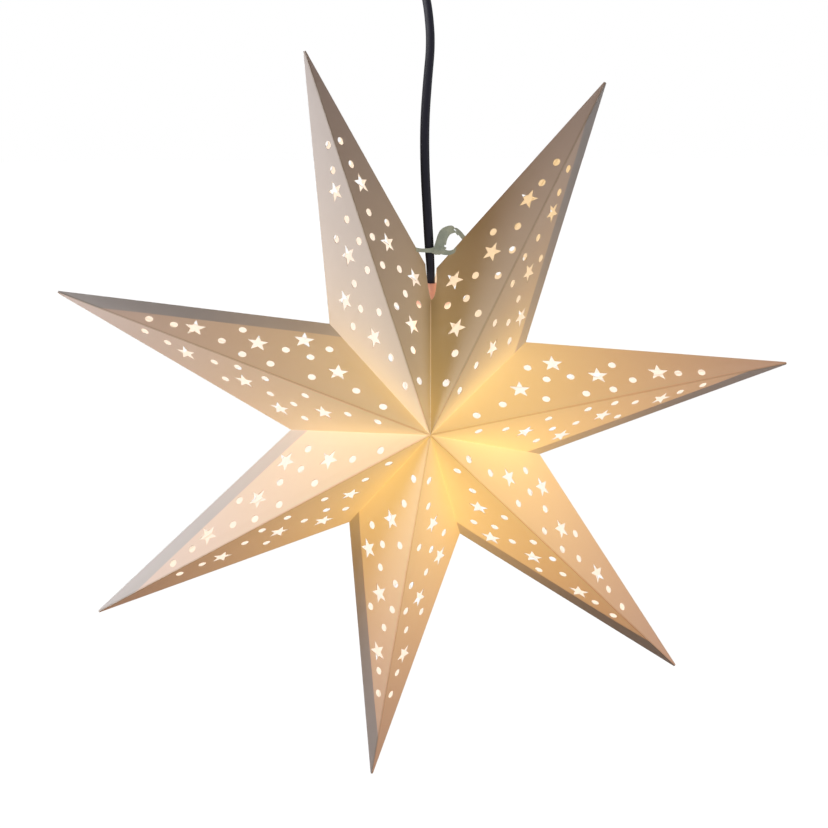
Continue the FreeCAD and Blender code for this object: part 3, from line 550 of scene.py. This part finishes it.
def face_place(apex, tip, notch, share, width_share):
    """A point of a face: share of the ridge from its apex, and share of the width there."""
    along, across, _ = face_axes(apex, tip, notch)
    ridge = (tip - apex).length
    notch_along = (notch - apex).dot(along)
    width = (notch - apex).dot(across)
    x = share * ridge
    width *= x / notch_along if x < notch_along else (ridge - x) / (ridge - notch_along)
    return apex + along * x + across * (width_share * width)


def line_distance(point, start, end):
    run = (end - start).normalized()
    offset = point - start
    return (offset - run * offset.dot(run)).length


# ================================================================ punches
def make_dot_punch():
    """A round punch, standing on the card."""
    deselect()
    bpy.ops.mesh.primitive_cylinder_add(vertices=24, radius=DOT_RADIUS, depth=8 * MM)
    punch = bpy.context.object
    punch.name = "dot_punch"
    return punch


def make_star_punch():
    """A five-pointed punch with one point along +X."""
    deselect()
    bpy.ops.mesh.primitive_cylinder_add(vertices=10, radius=STAR_RADIUS, depth=8 * MM)
    punch = bpy.context.object
    punch.name = "star_punch"
    for vertex in punch.data.vertices:
        angle = atan2(vertex.co.y, vertex.co.x)
        step = round((angle - pi / 2) / (tau / 10))
        if step % 2:
            vertex.co.x *= STAR_WAIST
            vertex.co.y *= STAR_WAIST
    punch.data.transform(Matrix.Rotation(-pi / 2, 4, "Z"))
    return punch


def punch_set(arm_index, dot, star):
    """All 64 punches of one arm, joined in one mesh."""
    tip = TIPS[arm_index]
    joined = bmesh.new()
    for apex in (FRONT, BACK):
        for notch in (NOTCHES[arm_index - 1], NOTCHES[arm_index]):
            along, across, out = face_axes(apex, tip, notch)
            turn = Matrix((along, out.cross(along), out)).transposed().to_4x4()
            for punch, holes in ((dot, DOTS), (star, STARS)):
                for share, width_share in holes:
                    place = face_place(apex, tip, notch, share, width_share)
                    piece = punch.data.copy()
                    piece.transform(Matrix.Translation(place) @ turn)
                    joined.from_mesh(piece)
                    bpy.data.meshes.remove(piece)
    mesh = bpy.data.meshes.new("punches")
    joined.to_mesh(mesh)
    joined.free()
    punches = bpy.data.objects.new("punches", mesh)
    bpy.context.scene.collection.objects.link(punches)
    return punches


# ================================================================ arms
def fold_arm(i):
    """Four flat faces folded from one card: a four-sided cone, its corners moved to their places."""
    deselect()
    bpy.ops.mesh.primitive_cone_add(vertices=4, radius1=1, depth=1, end_fill_type="NOTHING")
    arm = bpy.context.object
    arm.name = "card_arm_%d" % (i + 1)
    corners = {}
    for vertex in arm.data.vertices:
        if vertex.co.z > 0:
            corners[vertex.index] = TIPS[i]
        elif abs(vertex.co.y) > 0.5:
            corners[vertex.index] = FRONT if vertex.co.y < 0 else BACK
        else:
            corners[vertex.index] = NOTCHES[i] if vertex.co.x > 0 else NOTCHES[i - 1]
    for index, place in corners.items():
        arm.data.vertices[index].co = place
    return arm


SINGLE_MARK = 1.0
SEAM_MARK = 2.0


def card_maps(arm, i):
    """Two maps in metres: place along and off the ridge, and distance from the rim and the valley.

    The rim's distance has a mark added where the card isn't doubled there, and another beside the tied seam.
    """
    tip, left, right = TIPS[i], NOTCHES[i - 1], NOTCHES[i]
    mesh = arm.data
    while mesh.uv_layers:
        mesh.uv_layers.remove(mesh.uv_layers[0])
    card = mesh.uv_layers.new(name="card")
    rim = mesh.uv_layers.new(name="rim")
    side = (right - left).normalized()
    for polygon in mesh.polygons:
        centre = polygon.center
        apex = FRONT if centre.y < 0 else BACK
        notch = right if polygon.normal.dot(side) > 0 else left
        glued = apex is FRONT and notch is right and i < ARM_COUNT - 1
        seam = notch is NOTCHES[-1]
        mark = 0.0 if glued else SEAM_MARK if seam else SINGLE_MARK
        for loop in polygon.loop_indices:
            point = mesh.vertices[mesh.loops[loop].vertex_index].co
            along = (tip - apex).normalized()
            card.data[loop].uv = ((point - apex).dot(along), line_distance(point, apex, tip))
            rim_distance = line_distance(point, notch, tip) + mark
            rim.data[loop].uv = (rim_distance, line_distance(point, apex, notch))


BOW_SEED = 40
BOW_MARGIN = 12 * MM        # from a border to where the bulge is full


def bow_card(arm, i):
    """Let each face bulge and wave a little, as folded card does, while its borders stay put."""
    tip, left, right = TIPS[i], NOTCHES[i - 1], NOTCHES[i]
    draw = random.Random(BOW_SEED + i)
    waves = [(draw.uniform(18, 34), draw.uniform(0, tau), draw.uniform(0.1, 0.3)) for _ in range(3)]
    for vertex in arm.data.vertices:
        point = vertex.co
        apex = FRONT if point.y < 0 else BACK
        faces = [(notch, *face_axes(apex, tip, notch)) for notch in (left, right)]
        notch, along, _, out = min(faces, key=lambda face: abs((point - apex).dot(face[3])))
        borders = [line_distance(point, *line) for line in ((apex, tip), (notch, tip), (apex, notch))]
        share = min(1.0, min(borders) / BOW_MARGIN)
        share = share * share * (3 - 2 * share)
        x = (point - apex).dot(along)
        wave = sum(size * sin(x * rate + phase) for rate, phase, size in waves)
        vertex.co = point + out * (share * (0.55 + 0.35 * wave) * MM)


def mark_inside(arm):
    """Note on each face whether it looks towards the star's centre."""
    mark = arm.data.attributes.new("inside", "FLOAT", "FACE")
    for polygon, value in zip(arm.data.polygons, mark.data):
        value.value = float(polygon.normal.dot(polygon.center) < 0)


def cut_tip(arm, i):
    """Cut the arm's point off square, where the layers of card end."""
    edit(arm)
    bpy.ops.mesh.select_all(action="SELECT")
    out = TIPS[i].normalized()
    bpy.ops.mesh.bisect(plane_co=TIPS[i] - out * TIP_BLUNT, plane_no=out, clear_outer=True, use_fill=True)
    leave()


def make_slot_punch():
    """The oval cut round the flex at the tied seam."""
    deselect()
    seam = NOTCHES[-1]
    bpy.ops.mesh.primitive_cylinder_add(vertices=48, radius=1, depth=SEAM_NOTCH_RADIUS, location=seam)
    punch = bpy.context.object
    punch.scale = (SLOT_HALF_WIDTH, SLOT_HALF_LENGTH, 1)
    apply_place(punch)
    return punch


def make_seam_punch():
    """The gap between the two arms that are only tied together."""
    deselect()
    bpy.ops.mesh.primitive_cube_add(size=1, location=(0, 0, SEAM_NOTCH_RADIUS * 0.75))
    punch = bpy.context.object
    punch.scale = (SEAM_OPENING, 2.4 * HALF_DEPTH, SEAM_NOTCH_RADIUS * 1.5)
    apply_place(punch)
    punch.data.transform(Matrix.Rotation(radians(SEAM_BEARING), 4, "Y"))
    return punch


def make_arm(i, dot, star, material):
    """One arm: folded, bowed, given its thickness and punched."""
    arm = fold_arm(i)
    edit(arm)
    bpy.ops.mesh.select_all(action="SELECT")
    bpy.ops.mesh.normals_make_consistent(inside=False)
    bpy.ops.mesh.subdivide(number_cuts=13)
    leave()
    bow_card(arm, i)
    cut_tip(arm, i)
    card_maps(arm, i)
    modifier(arm, "SOLIDIFY", thickness=CARD, offset=-1.0, use_even_offset=True, thickness_clamp=1.0)
    cutters = [punch_set(i, dot, star)]
    if i in (0, ARM_COUNT - 1):
        cutters += [make_slot_punch(), make_seam_punch()]
    for cutter in cutters:
        modifier(arm, "BOOLEAN", operation="DIFFERENCE", solver="EXACT", object=cutter)
        bpy.data.objects.remove(cutter)
    mark_inside(arm)
    arm.data.transform(Matrix.Translation(STAR))
    only(arm)
    bpy.ops.object.shade_flat()
    dress(arm, "star", "paper_outside", material, "arm_%d" % (i + 1))
    return arm


def make_star(materials):
    dot, star = make_dot_punch(), make_star_punch()
    for i in range(ARM_COUNT):
        make_arm(i, dot, star, materials["paper_outside"])
    for punch in (dot, star):
        bpy.data.objects.remove(punch)


# ================================================================ flex
FLEX_ROUTE = [(330.0, 3.6), (311.0, 7.2), (287.0, 8.9), (260.0, 6.3), (229.0, 4.1),
              (195.0, 4.2), (160.0, 6.1), (133.0, 7.7)]
FLEX_RADIUS = 3.0 * MM
FLEX_TWIST = 55             # degrees that the oval section turns from the lampholder up to the rose
PIVOT_IN_GLAND = 7 * MM     # from the gland's mouth up to where the flex swings


def make_flex(material):
    """The two-core cable: an oval section that turns slowly on its way down."""
    points = [Vector((0, 0, GLAND_MOUTH + PIVOT_IN_GLAND)), Vector((0, 0, GLAND_MOUTH - 2 * MM))]
    points += [Vector((STAR.x + x * MM, 0, STAR.z + h * MM)) for h, x in FLEX_ROUTE]
    points += [Vector((HOLDER_X, 0, NECK_TOP + 8 * MM)), Vector((HOLDER_X, 0, FLEX_END))]
    last = len(points) - 1
    data = bpy.data.curves.new("flex_route", "CURVE")
    data.dimensions = "3D"
    data.resolution_u = 24
    spline = data.splines.new("NURBS")
    spline.points.add(last)
    for k, (target, place) in enumerate(zip(spline.points, points)):
        target.co = (*place, 1)
        target.tilt = radians(FLEX_TWIST * (1 - k / last))
        target.radius = 0.86 if k < 2 or k > last - 2 else 1.0
    spline.order_u = 3
    spline.use_endpoint_u = True
    route = bpy.data.objects.new("flex_route", data)
    bpy.context.scene.collection.objects.link(route)
    line = bpy.data.meshes.new_from_object(route)

    section = bpy.data.curves.new("flex_section", "CURVE")
    section.dimensions = "2D"
    ring = section.splines.new("POLY")
    sides = 28
    ring.points.add(sides - 1)
    ring.use_cyclic_u = True
    for k, target in enumerate(ring.points):
        angle = tau * k / sides
        waist = 1.0 - 0.07 * abs(sin(angle)) ** 6
        target.co = (1.22 * FLEX_RADIUS * cos(angle), 0.86 * FLEX_RADIUS * sin(angle) * waist, 0, 1)
    profile = bpy.data.objects.new("flex_section", section)
    bpy.context.scene.collection.objects.link(profile)
    data.bevel_mode = "OBJECT"
    data.bevel_object = profile
    data.use_fill_caps = True
    only(route)
    bpy.ops.object.convert(target="MESH")
    cable = bpy.context.object
    cable.name = "flex_cable"
    bpy.data.objects.remove(profile)
    only(cable)
    bpy.ops.object.shade_smooth_by_angle(angle=radians(40))
    dress(cable, "lampholder", "flex_pvc", material, "flex")


# ================================================================ ribbon
TAPE_STEPS = 6      # rows between two stations
TAPE_CUTS = 4       # faces across
KNOT = (14.6, -6.9, 130.6)


def at(x, y, h):
    """A place in millimetres from the star's centre: right, away and up."""
    return STAR + Vector((x, y, h)) * MM


def curve_through(before, here, there, after, t):
    """A smooth line's value at t of the way from the second of four values to the third."""
    straight = (there - before) * t
    bend = (2 * before - 5 * here + 4 * there - after) * t * t
    turn = (3 * here - before - 3 * there + after) * t ** 3
    return 0.5 * (2 * here + straight + bend + turn)


def tape(name, stations):
    """A strip of tape through stations of (right, away, up, direction of its width, width in mm)."""
    mesh = bmesh.new()
    stations = [(at(x, y, h), side, width) for x, y, h, side, width in stations]
    last = len(stations) - 1
    fine = []
    for k in range(last):
        four = [stations[j] for j in (max(k - 1, 0), k, k + 1, min(k + 2, last))]
        for step in range(TAPE_STEPS):
            fine.append([curve_through(*values, step / TAPE_STEPS) for values in zip(*four)])
    fine.append(stations[-1])
    rows = []
    lengths = [0.0]
    for a, b in zip(fine, fine[1:]):
        lengths.append(lengths[-1] + (b[0] - a[0]).length)
    for place, side, width in fine:
        reach = side.normalized() * width * MM
        rows.append([mesh.verts.new(place + reach * (j / TAPE_CUTS - 0.5)) for j in range(TAPE_CUTS + 1)])
    uv = mesh.loops.layers.uv.new("tape")
    for k in range(len(rows) - 1):
        for j in range(TAPE_CUTS):
            corners = ((k, j), (k, j + 1), (k + 1, j + 1), (k + 1, j))
            face = mesh.faces.new([rows[a][b] for a, b in corners])
            for loop, (a, b) in zip(face.loops, corners):
                loop[uv].uv = (lengths[a], 4 * MM * b / TAPE_CUTS)
    data = bpy.data.meshes.new(name)
    mesh.to_mesh(data)
    mesh.free()
    obj = bpy.data.objects.new(name, data)
    bpy.context.scene.collection.objects.link(obj)
    modifier(obj, "SOLIDIFY", thickness=0.35 * MM, offset=0.0)
    only(obj)
    bpy.ops.object.shade_smooth_by_angle(angle=radians(50))
    return obj


def tie_knot():
    """A lump of wrapped tape: a ball pressed flat, waved where one turn lies over another."""
    deselect()
    bpy.ops.mesh.primitive_uv_sphere_add(segments=32, ring_count=18, radius=1)
    knot = bpy.context.object
    knot.name = "ribbon_knot"
    draw = random.Random(7)
    first_wave, second_wave = draw.uniform(0, tau), draw.uniform(0, tau)
    for vertex in knot.data.vertices:
        p = vertex.co.normalized()
        wrap = 0.10 * sin(7 * p.z + 3 * p.x + first_wave) + 0.07 * sin(9 * p.x - 4 * p.z + second_wave)
        pressed = Vector((p.x * 5.2 + p.z * 0.9, p.y * 2.0, p.z * 3.6))
        vertex.co = pressed * (1 + wrap) * MM + at(*KNOT)
    uv = knot.data.uv_layers[0]
    uv.name = "tape"
    for item in uv.data:
        item.uv = (item.uv[0] * 0.02, item.uv[1] * 0.012)
    only(knot)
    bpy.ops.object.shade_smooth()
    return knot


def make_ribbons(material):
    """The tape that ties the seam: two strands, a knot, and a loop whose broad side faces the viewer."""
    up, away, right_way = Vector((0, 0, 1)), Vector((0, 1, 0)), Vector((1, 0, 0))
    left = tape("ribbon_left", [
        (-9.0, 9.5, 130.3, Vector((0.5, 0, 0.85)), 3.8),
        (-5.0, 5.2, 130.2, Vector((0.4, -0.2, 0.9)), 3.8),
        (-3.2, 0.8, 130.4, up, 3.6),
        (-1.6, -3.4, 130.4, up, 3.2),
        (1.8, -5.7, 130.2, up, 3.0),
        (6.0, -6.2, 130.2, up, 3.2),
        (10.0, -6.3, 130.4, up, 4.0),
        (14.0, -6.4, 131.4, up, 5.0)])
    right = tape("ribbon_right", [
        (14.0, -6.4, 130.6, up, 5.2),
        (18.0, -6.6, 129.0, up, 4.6),
        (22.5, -6.0, 128.2, up + away * 0.3, 3.6),
        (26.0, -4.4, 129.0, up, 3.2),
        (28.6, -1.0, 130.2, up, 3.2),
        (30.0, 2.2, 130.8, up, 3.2),
        (33.0, 5.2, 130.8, Vector((-0.6, 0, 0.8)), 3.2)])
    loop = tape("ribbon_loop", [
        (14.2, -6.8, 129.6, right_way + up * 0.1, 7.6),
        (14.9, -6.9, 134.0, right_way + up * 0.25, 8.6),
        (16.0, -6.2, 138.6, right_way + up * 0.1, 7.2),
        (18.4, -5.0, 143.4, right_way - up * 0.5, 7.0),
        (21.6, -3.4, 146.4, right_way * 0.5 - up * 0.7 + away * 0.6, 6.0),
        (25.6, -1.6, 147.0, away * 0.9 - up * 0.7, 5.6),
        (29.8, 0.4, 144.4, away * 0.8 + up * 0.8, 5.4),
        (33.8, 3.2, 140.2, away * 0.7 + up * 0.6 + right_way * 0.4, 5.0),
        (37.4, 6.6, 135.4, away * 0.8 + right_way * 0.5, 4.8),
        (37.6, 9.0, 131.0, away, 4.6),
        (32.0, 9.6, 129.4, away, 4.4)])
    fold = tape("ribbon_fold", [
        (18.6, -3.0, 134.4, right_way * 0.8 - up * 0.3 + away * 0.4, 4.6),
        (19.4, -2.4, 139.0, right_way * 0.9 - up * 0.2 + away * 0.4, 5.2),
        (22.2, -1.2, 143.0, right_way * 0.8 - up * 0.6 + away * 0.5, 5.0),
        (26.4, 0.8, 144.6, right_way * 0.3 - up * 0.8 + away * 0.5, 4.6),
        (30.6, 3.6, 142.4, up + away * 0.5, 4.0)])
    knot = tie_knot()
    for piece in (left, right, loop, fold, knot):
        dress(piece, "star", "ribbon", material)
    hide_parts("tie_ribbon_left")
    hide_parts("tie_ribbon_right")


# ================================================================ carried-over solids
def dress_solids(materials):
    """Give each solid that stays its own finish."""
    slots = {part["node"]: part["material_slot"] for part in frame["record"]["subparts"]}
    for name, obj in frame["nodes"].items():
        obj.data.materials.clear()
        obj.data.materials.append(materials[slots[name]])


# ================================================================ studio
def seen_directly(g):
    """1 for rays from the camera, by reflection and through glass, and 0 for light on its way."""
    rays = g.tree.nodes.new("ShaderNodeLightPath").outputs
    seen = g.math("MAXIMUM", rays["Is Camera Ray"], rays["Is Glossy Ray"])
    return g.math("MAXIMUM", seen, rays["Is Transmission Ray"])


def make_studio():
    """A pale floor well below the star, a white surround and soft light, mostly from the left."""
    deselect()
    bpy.ops.mesh.primitive_plane_add(size=40, location=(0, 0, -1.45))
    floor = bpy.context.object
    floor.name = "floor"
    material, g, shader = new_material("pale floor", (0.93, 0.93, 0.93, 1), 0.9)
    spot = g.ramp(g.vector("LENGTH", g.coordinates()), 0.5, 1.7, 0.72, 1.0)
    g.link(g.math("MULTIPLY", seen_directly(g), spot), shader.inputs["Emission Strength"])
    shader.inputs["Emission Color"].default_value = (1, 1, 1, 1)
    floor.data.materials.append(material)

    world = bpy.data.worlds.new("surround")
    bpy.context.scene.world = world
    world.use_nodes = True
    w = Graph(world.node_tree)
    background = world.node_tree.nodes["Background"]
    w.link(w.mix(seen_directly(w), (0.012, 0.012, 0.012, 1), (1, 1, 1, 1)), background.inputs["Color"])

    add_area("key_light", (-0.671, -0.085, 0.180), 0.3, 3.04)
    add_area("right_light", (1.22, -0.513, 0.705), 0.9, 0.72)
    add_area("near_light", (0.62, -0.42, 0.12), 0.3, 0.75)
    add_area("front_light", (0.964, -1.149, 0.0), 0.9, 0.53)


def add_area(name, offset, size, power):
    """A soft white square of light, aimed at the star."""
    data = bpy.data.lights.new(name, "AREA")
    data.size = size
    data.energy = power
    lamp = bpy.data.objects.new(name, data)
    bpy.context.scene.collection.objects.link(lamp)
    lamp.location = STAR + Vector(offset)
    lamp.rotation_euler = Vector(offset).to_track_quat("Z", "Y").to_euler()


# ================================================================ build
make_camera()
MATERIALS = make_materials()
dress_solids(MATERIALS)
make_flex(MATERIALS["flex_pvc"])
make_star(MATERIALS)
make_ribbons(MATERIALS["ribbon"])
make_studio()

bpy.context.scene.view_settings.view_transform = "Standard"
